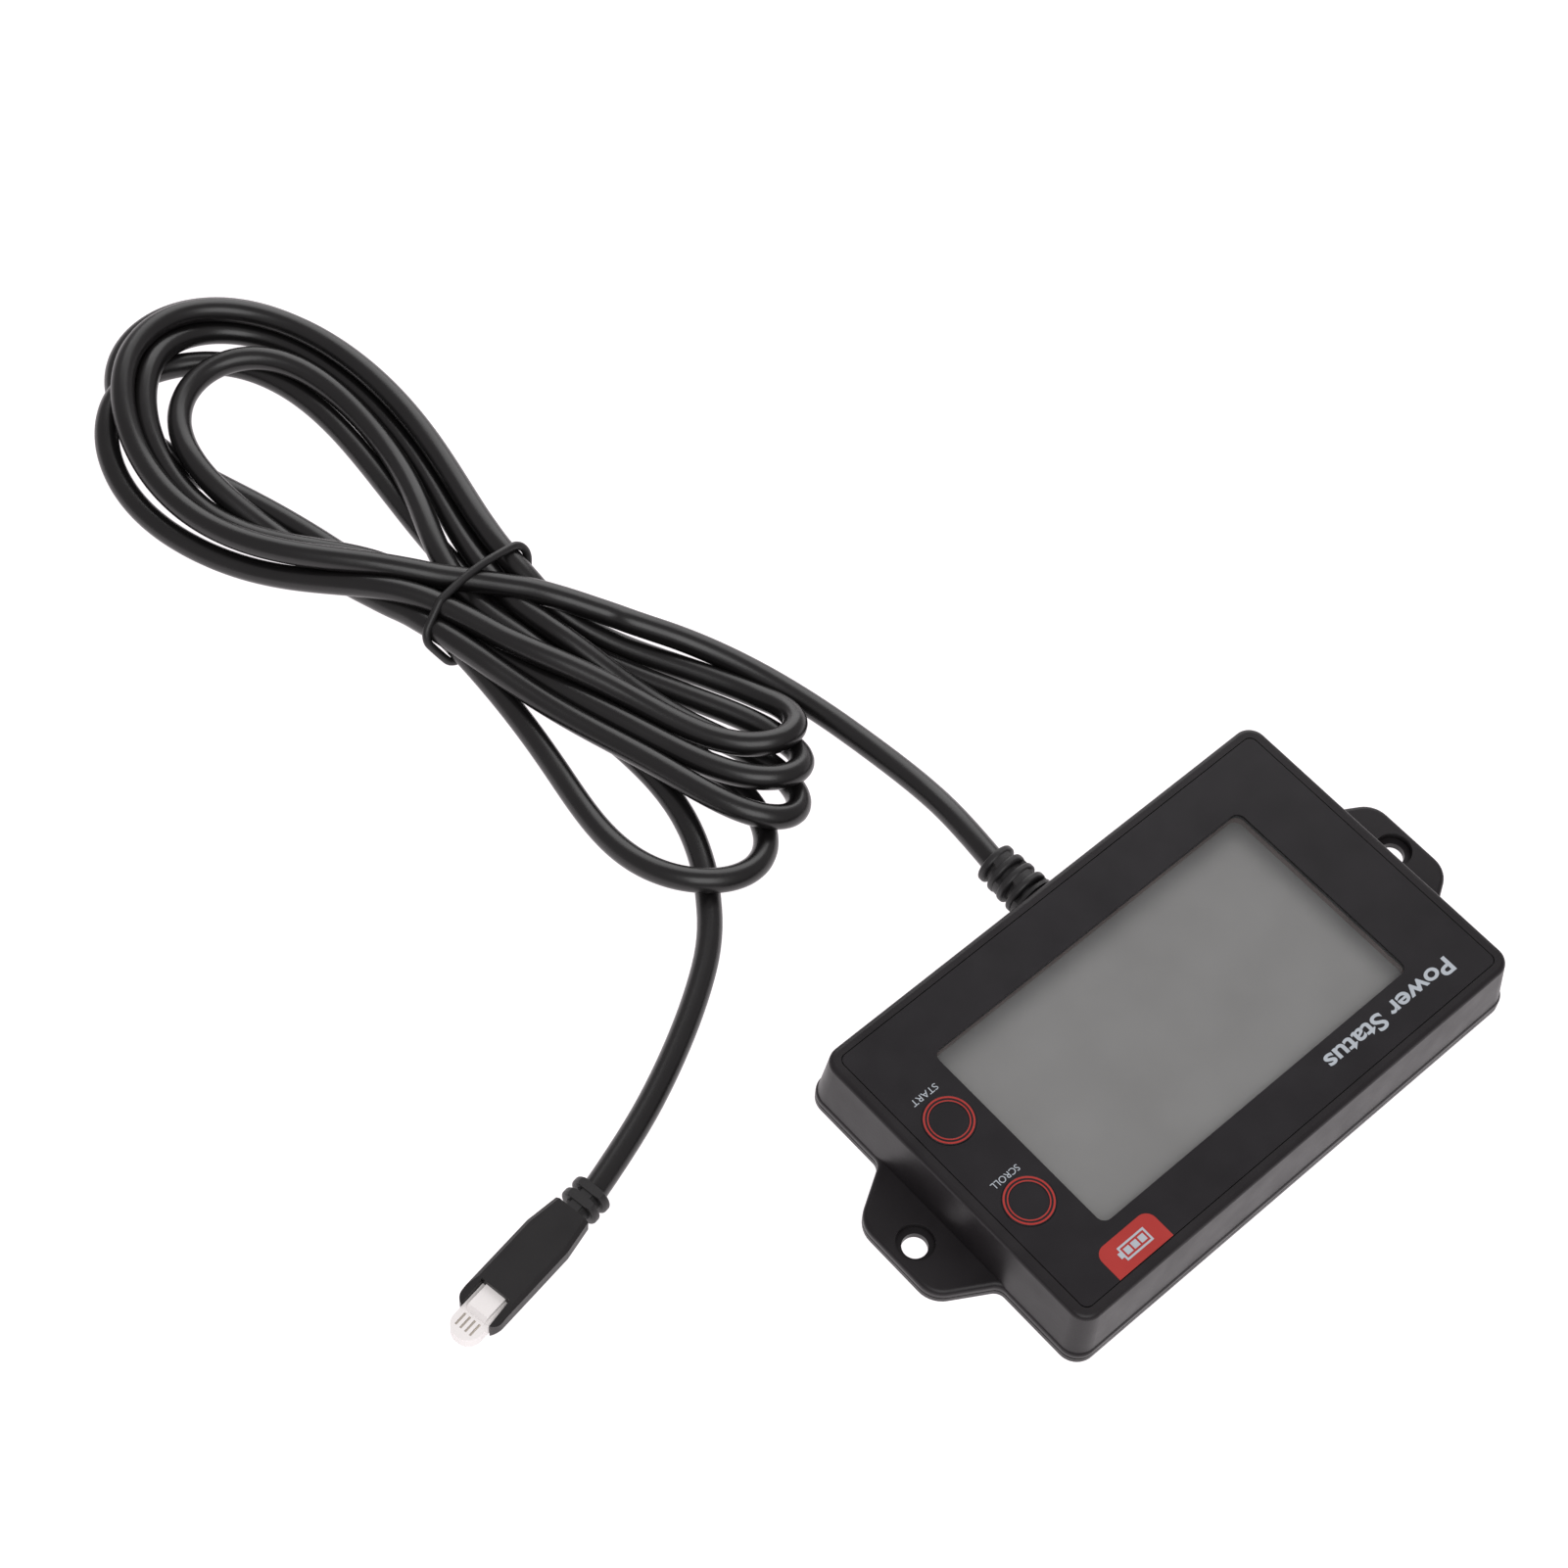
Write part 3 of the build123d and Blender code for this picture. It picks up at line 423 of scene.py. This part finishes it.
def board_laminate():
    """Green solder mask with darker tracks under it."""
    material, shader = new_material("board_laminate")
    place = add_node(material, "ShaderNodeTexCoord")
    tracks = add_node(material, "ShaderNodeTexBrick", Scale=160.0)
    tracks.inputs["Color1"].default_value = (0.012, 0.10, 0.035, 1)
    tracks.inputs["Color2"].default_value = (0.016, 0.13, 0.045, 1)
    tracks.inputs["Mortar"].default_value = (0.03, 0.20, 0.08, 1)
    link(material, place.outputs["Object"], tracks.inputs["Vector"])
    link(material, tracks.outputs["Color"], shader.inputs["Base Color"])
    shader.inputs["Roughness"].default_value = 0.3
    grained(material, shader, 0.0008, 0.00001)
    return material


FLOOR_COLOUR = (0.22, 0.21, 0.215)
FLOOR_LIGHT = (1.0, 0.955, 0.975, 1.0)
FLOOR_GLOW = 1.04


def floor_white():
    """The pale floor."""
    material, shader = new_material("floor_white")
    tinted(material, shader, FLOOR_COLOUR, 0.01, 0.2)
    shader.inputs["Roughness"].default_value = 0.9
    shader.inputs["Specular IOR Level"].default_value = 0.1
    shader.inputs["Emission Color"].default_value = FLOOR_LIGHT
    shader.inputs["Emission Strength"].default_value = FLOOR_GLOW
    return material


BLACK = (0.0140, 0.0122, 0.0136)
# name, base colour, lowest and highest roughness, size and depth of the grain
MATERIALS = {
    "case_plastic": moulded("case_plastic", BLACK, (0.34, 0.42), 0.0005, 0.000010, specular=0.27),
    "overlay_film": moulded(
        "overlay_film", (0.0100, 0.0086, 0.0104), (0.30, 0.36), 0.00025, 0.000003, specular=0.34),
    "print_white": moulded("print_white", (0.44, 0.48, 0.52), (0.4, 0.5), 0.0003, 0.000003, spread=0.04),
    "print_red": moulded("print_red", (0.40, 0.020, 0.014), (0.4, 0.5), 0.0003, 0.000003, spread=0.06),
    "clear_window": clear_window(),
    "black_foam": moulded("black_foam", (0.012, 0.012, 0.012), (0.8, 0.95), 0.0006, 0.00006),
    "lcd_glass": lcd_glass(),
    "reveal_film": moulded("reveal_film", (0.060, 0.018, 0.012), (0.5, 0.6), 0.0004, 0.000004),
    "white_plastic": moulded(
        "white_plastic", (0.72, 0.72, 0.69), (0.35, 0.45), 0.0005, 0.000005, spread=0.03),
    "light_guide": moulded("light_guide", (0.80, 0.84, 0.85), (0.2, 0.3), 0.0006, 0.000003, spread=0.02),
    "contact_rubber": moulded("contact_rubber", (0.20, 0.10, 0.10), (0.6, 0.7), 0.0004, 0.00001),
    "board_laminate": board_laminate(),
    "chip_epoxy": moulded("chip_epoxy", (0.012, 0.012, 0.013), (0.5, 0.6), 0.0003, 0.000006),
    "component_ceramic": moulded("component_ceramic", (0.35, 0.24, 0.14), (0.4, 0.5), 0.0004, 0.000006),
    "screw_steel": metal("screw_steel", (0.55, 0.55, 0.57), (0.25, 0.38), 0.0003),
    "lead_insulation": moulded("lead_insulation", (0.45, 0.03, 0.025), (0.4, 0.5), 0.0005, 0.000006),
    "boot_rubber": moulded("boot_rubber", (0.0100, 0.0095, 0.0100), (0.42, 0.52), 0.0005, 0.000012),
    "cord_jacket": moulded(
        "cord_jacket", (0.0060, 0.0055, 0.0057), (0.27, 0.34), 0.0007, 0.000008, patch=0.02),
    "tie_plastic": moulded("tie_plastic", (0.0085, 0.0082, 0.0085), (0.40, 0.5), 0.0004, 0.000008),
    "plug_overmould": moulded(
        "plug_overmould", (0.0080, 0.0072, 0.0076), (0.44, 0.52), 0.0004, 0.000012, specular=0.38),
    "connector_nylon": moulded(
        "connector_nylon", (0.90, 0.87, 0.855), (0.4, 0.5), 0.0006, 0.000006, spread=0.03),
    "contact_brass": metal("contact_brass", (0.86, 0.80, 0.70), (0.25, 0.35), 0.0002),
    "switch_plastic": moulded("switch_plastic", (0.03, 0.03, 0.034), (0.45, 0.55), 0.0004, 0.000006),
}


def paint_nodes():
    """Gives each CAD node the material of its slot in the record."""
    for part in frame["record"]["subparts"]:
        node = NODES[part["node"]]
        node.data.materials.clear()
        node.data.materials.append(MATERIALS[part["material_slot"]])


def finish_piece(piece, slot, body="root"):
    """Gives a new piece its material, its slot and its body."""
    piece.data.materials.clear()
    piece.data.materials.append(MATERIALS[slot])
    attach(piece, body)
    return piece


def mesh_piece(name, mesh):
    """A new object around a mesh."""
    piece = bpy.data.objects.new(name, mesh)
    bpy.context.scene.collection.objects.link(piece)
    return piece


# ---- cord pieces ---------------------------------------------------------
def tube_curve(name, points, diameter, closed=False):
    """A round tube along a smooth line."""
    curve = bpy.data.curves.new(name, "CURVE")
    curve.dimensions = "3D"
    curve.bevel_depth = diameter / 2
    curve.bevel_resolution = 8
    curve.use_fill_caps = True
    spline = curve.splines.new("NURBS")
    spline.points.add(len(points) - 1)
    for point, place in zip(spline.points, points):
        point.co = (*place, 1.0)
    spline.order_u = 3
    if closed:
        spline.use_cyclic_u = True
    else:
        spline.use_endpoint_u = True
    spline.resolution_u = 6
    piece = bpy.data.objects.new(name, curve)
    bpy.context.scene.collection.objects.link(piece)
    return piece


def tie_points(rest):
    """The tie's line: once round every strand that crosses its leaning plane, hugging their outsides."""
    across = Vector((1.0, TIE_TURN, 0.0)).normalized()
    up = Vector((0.0, -TIE_LEAN, 1.0)).normalized()
    middle = Vector(TIE_MIDDLE)
    normal = across.cross(up)
    heights = [(Vector(p) - middle).dot(normal) for p in rest]
    section = []
    for i, (before, after) in enumerate(zip(heights, heights[1:])):
        if before * after <= 0 and before != after:
            place = Vector(rest[i]).lerp(Vector(rest[i + 1]), before / (before - after)) - middle
            if abs(place.x) < TIE_SPREAD:
                section.append((place.dot(across), place.dot(up)))
    section = np.array(section)
    reach = (CORD_D + TIE_WIRE_D) / 2
    points = []
    for i in range(TIE_POINTS):
        angle = 2 * pi * i / TIE_POINTS
        outward = np.array([cos(angle), sin(angle)])
        flat = section[np.argmax(section @ outward)] + outward * reach
        place = middle + across * flat[0] + up * flat[1]
        points.append((place.x, place.y, max(place.z, TIE_WIRE_D / 2)))
    return points


def make_cord():
    """The whole cord as one tube, and the tie round its hank."""
    points, rest = cord_points()
    cord = finish_piece(tube_curve("cord", points, CORD_D), "cord_jacket")
    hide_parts("cord_device_tail", "cord_hank", "cord_plug_tail")
    tie = finish_piece(tube_curve("tie_loop", tie_points(rest), TIE_WIRE_D, closed=True), "tie_plastic")
    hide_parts("hank_tie")


# ---- face prints ---------------------------------------------------------
FACE_Z = 0.0137
PRINT_HIGH = 0.00003
KEY_X, KEY_Y = 0.04185, {"enter": -0.00913, "select": 0.00946}
RING_Z = FACE_Z + 0.00012
RING_LINES = [(0.00334, 0.00356), (0.00392, 0.00424)]
RING_STEPS = 96
# words, x and y of the lower left corner, width, height
TITLE = ("Power Status", -0.0417, 0.0223, 0.0294, 0.0032)
KEY_LABELS = {
    "enter": ("START", 0.0391, -0.0156, 0.0054, 0.0012),
    "select": ("SCROLL", 0.0390, 0.0034, 0.0058, 0.0012),
}
TITLE_WEIGHT = 0.022
BADGE_X, BADGE_Y, BADGE_CORNER, CORNER_STEPS = (0.0285, 0.0404), (0.0227, 0.02870), 0.0020, 10
PICTOGRAM_AT, PICTOGRAM_SIZE, PICTOGRAM_LINE = (0.0342, 0.0258), (0.0058, 0.0027), 0.00036
PICTOGRAM_BARS = 3


def flat_print(name, outlines, low, slot, body="root"):
    """Printed areas: each outline is a thin raised layer."""
    mesh = bpy.data.meshes.new(name)
    build = bmesh.new()
    for outline in outlines:
        bottom = [build.verts.new((x, y, low)) for x, y in outline]
        top = [build.verts.new((x, y, low + PRINT_HIGH)) for x, y in outline]
        build.faces.new(top)
        build.faces.new(bottom[::-1])
        for i in range(len(outline)):
            j = (i + 1) % len(outline)
            build.faces.new((bottom[i], bottom[j], top[j], top[i]))
    build.to_mesh(mesh)
    build.free()
    return finish_piece(mesh_piece(name, mesh), slot, body)


def ring_print(key):
    """The two thin red lines round a key."""
    x, y = KEY_X, KEY_Y[key]
    mesh = bpy.data.meshes.new(key + "_ring_print")
    build = bmesh.new()
    for inner, outer in RING_LINES:
        low, high = RING_Z - PRINT_HIGH, RING_Z + PRINT_HIGH
        profile = [(inner, low), (inner, high), (outer, high), (outer, low)]
        loops = []
        for i in range(RING_STEPS):
            angle = 2 * pi * i / RING_STEPS
            turned = [(x + r * cos(angle), y + r * sin(angle), z) for r, z in profile]
            loops.append([build.verts.new(place) for place in turned])
        for here, after in zip(loops, loops[1:] + loops[:1]):
            for j in range(len(profile)):
                k = (j + 1) % len(profile)
                build.faces.new((here[j], after[j], after[k], here[k]))
    bmesh.ops.recalc_face_normals(build, faces=build.faces)
    build.to_mesh(mesh)
    build.free()
    return finish_piece(mesh_piece(key + "_ring_print", mesh), "print_red", key + "_key")


def word_print(name, words, x, y, wide, high, weight):
    """Lettering made to fill a box on the face."""
    text = bpy.data.curves.new(name, "FONT")
    text.body = words
    text.offset = weight
    text.resolution_u = 6
    maker = bpy.data.objects.new(name + "_maker", text)
    mesh = bpy.data.meshes.new_from_object(maker)
    bpy.data.objects.remove(maker)
    low = [min(v.co[i] for v in mesh.vertices) for i in range(2)]
    size = [max(v.co[i] for v in mesh.vertices) - low[i] for i in range(2)]
    for vertex in mesh.vertices:
        vertex.co = (
            x + (vertex.co.x - low[0]) * wide / size[0], y + (vertex.co.y - low[1]) * high / size[1],
            FACE_Z + PRINT_HIGH)
    return finish_piece(mesh_piece(name, mesh), "print_white")


def rectangle(x_low, y_low, x_high, y_high):
    """The four corners of a rectangle."""
    return [(x_low, y_low), (x_high, y_low), (x_high, y_high), (x_low, y_high)]


def badge_outline():
    """The badge: rounded towards the window, square at the face's top edge."""
    (x_low, x_high), (y_low, y_high), r = BADGE_X, BADGE_Y, BADGE_CORNER
    outline = [(x_high, y_high), (x_low, y_high)]
    for middle_x, start in ((x_low + r, pi), (x_high - r, 1.5 * pi)):
        for i in range(CORNER_STEPS + 1):
            angle = start + 0.5 * pi * i / CORNER_STEPS
            outline.append((middle_x + r * cos(angle), y_low + r + r * sin(angle)))
    return outline


def battery_outlines():
    """A battery pictogram: a frame, a terminal and charge bars."""
    (x, y), (wide, high), line = PICTOGRAM_AT, PICTOGRAM_SIZE, PICTOGRAM_LINE
    left, right, low, top = x - wide / 2, x + wide / 2, y - high / 2, y + high / 2
    shapes = [
        rectangle(left, low, right, low + line), rectangle(left, top - line, right, top),
        rectangle(left, low + line, left + line, top - line),
        rectangle(right - line, low + line, right, top - line),
        rectangle(right, y - high / 5, right + 1.6 * line, y + high / 5),
    ]
    room = wide - 3 * line
    pitch = room / PICTOGRAM_BARS
    for i in range(PICTOGRAM_BARS):
        start = left + 2 * line + i * pitch
        shapes.append(rectangle(start, low + 2 * line, start + pitch - line, top - 2 * line))
    return shapes


def make_prints():
    """Everything printed on the face and the keys."""
    word_print("title_print", *TITLE, weight=TITLE_WEIGHT)
    for key, label in KEY_LABELS.items():
        word_print(key + "_label_print", *label, weight=0.0)
        ring_print(key)
    flat_print("badge_print", [badge_outline()], FACE_Z, "print_red")
    flat_print("badge_pictogram_print", battery_outlines(), FACE_Z + PRINT_HIGH, "print_white")


# ---- window reveal -------------------------------------------------------
def reveal_outline(inset):
    """The rounded rectangle of the window hole, inset by a distance."""
    r = REVEAL_CORNER - inset
    outline = []
    corners = [(REVEAL_X[1], REVEAL_Y[1], 0), (REVEAL_X[0], REVEAL_Y[1], 0.5 * pi),
               (REVEAL_X[0], REVEAL_Y[0], pi), (REVEAL_X[1], REVEAL_Y[0], 1.5 * pi)]
    for x, y, start in corners:
        middle_x = x + REVEAL_CORNER * (1 if x < 0 else -1)
        middle_y = y + REVEAL_CORNER * (1 if y < 0 else -1)
        for i in range(CORNER_STEPS + 1):
            angle = start + 0.5 * pi * i / CORNER_STEPS
            outline.append((middle_x + r * cos(angle), middle_y + r * sin(angle)))
    return outline


def window_reveal():
    """The brown edge of the adhesive film that lines the window hole under the pane."""
    mesh = bpy.data.meshes.new("window_reveal")
    build = bmesh.new()
    outer, inner = reveal_outline(0.0), reveal_outline(REVEAL_THICK)
    low, high = REVEAL_Z
    loops = [[build.verts.new((x, y, z)) for x, y in outline]
             for outline, z in ((outer, low), (outer, high), (inner, high), (inner, low))]
    for here, after in zip(loops, loops[1:] + loops[:1]):
        for i in range(len(outer)):
            j = (i + 1) % len(outer)
            build.faces.new((here[i], here[j], after[j], after[i]))
    bmesh.ops.recalc_face_normals(build, faces=build.faces)
    build.to_mesh(mesh)
    build.free()
    piece = mesh_piece("window_reveal", mesh)
    piece.data.materials.append(MATERIALS["reveal_film"])
    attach(piece, "root")


# ---- stage ---------------------------------------------------------------
def make_camera():
    """The camera at the photographed angle."""
    right = Vector(CAMERA_RIGHT).normalized()
    back = -Vector(CAMERA_VIEW).normalized()
    up = back.cross(right).normalized()
    right = up.cross(back)
    turn = Matrix((right, up, back)).transposed().to_4x4()
    data = bpy.data.cameras.new("camera")
    data.lens, data.sensor_width = CAMERA_LENS, CAMERA_SENSOR
    data.clip_start, data.clip_end = CAMERA_NEAR, CAMERA_FAR
    camera = bpy.data.objects.new("camera", data)
    camera.matrix_world = Matrix.Translation(CAMERA_AT) @ turn
    bpy.context.scene.collection.objects.link(camera)
    bpy.context.scene.camera = camera


FLOOR_HALF, FLOOR_DROP = 1.6, 0.0001


def make_floor():
    """A wide pale floor just under the object."""
    mesh = bpy.data.meshes.new("floor")
    corners = rectangle(-FLOOR_HALF, -FLOOR_HALF, FLOOR_HALF, FLOOR_HALF)
    mesh.from_pydata([(x, y, -FLOOR_DROP) for x, y in corners], [], [(0, 1, 2, 3)])
    floor = mesh_piece("floor", mesh)
    floor.data.materials.append(floor_white())


LIGHTS = [
    # name, place, size, power
    ("back", (-0.78, -0.86, 0.62), 1.1, 8.0),
    ("front", (0.40, 0.50, 1.05), 0.9, 7.5),
]
LIGHTS_AIM = (0.03, -0.08, 0)
SKY = (0.43, 0.41, 0.42)


def make_lights():
    """Soft boxes over the object, and an even pale sky."""
    for name, place, size, power in LIGHTS:
        data = bpy.data.lights.new(name, "AREA")
        data.size = size
        data.energy = power
        lamp = bpy.data.objects.new(name, data)
        lamp.location = place
        aim = Vector(LIGHTS_AIM) - Vector(place)
        lamp.rotation_euler = aim.to_track_quat("-Z", "Y").to_euler()
        bpy.context.scene.collection.objects.link(lamp)
    world = bpy.data.worlds.new("world")
    world.use_nodes = True
    world.node_tree.nodes["Background"].inputs["Color"].default_value = (*SKY, 1)
    bpy.context.scene.world = world
    bpy.context.scene.view_settings.view_transform = "Standard"


make_camera()
make_floor()
make_lights()
paint_nodes()
make_cord()
make_prints()
window_reveal()
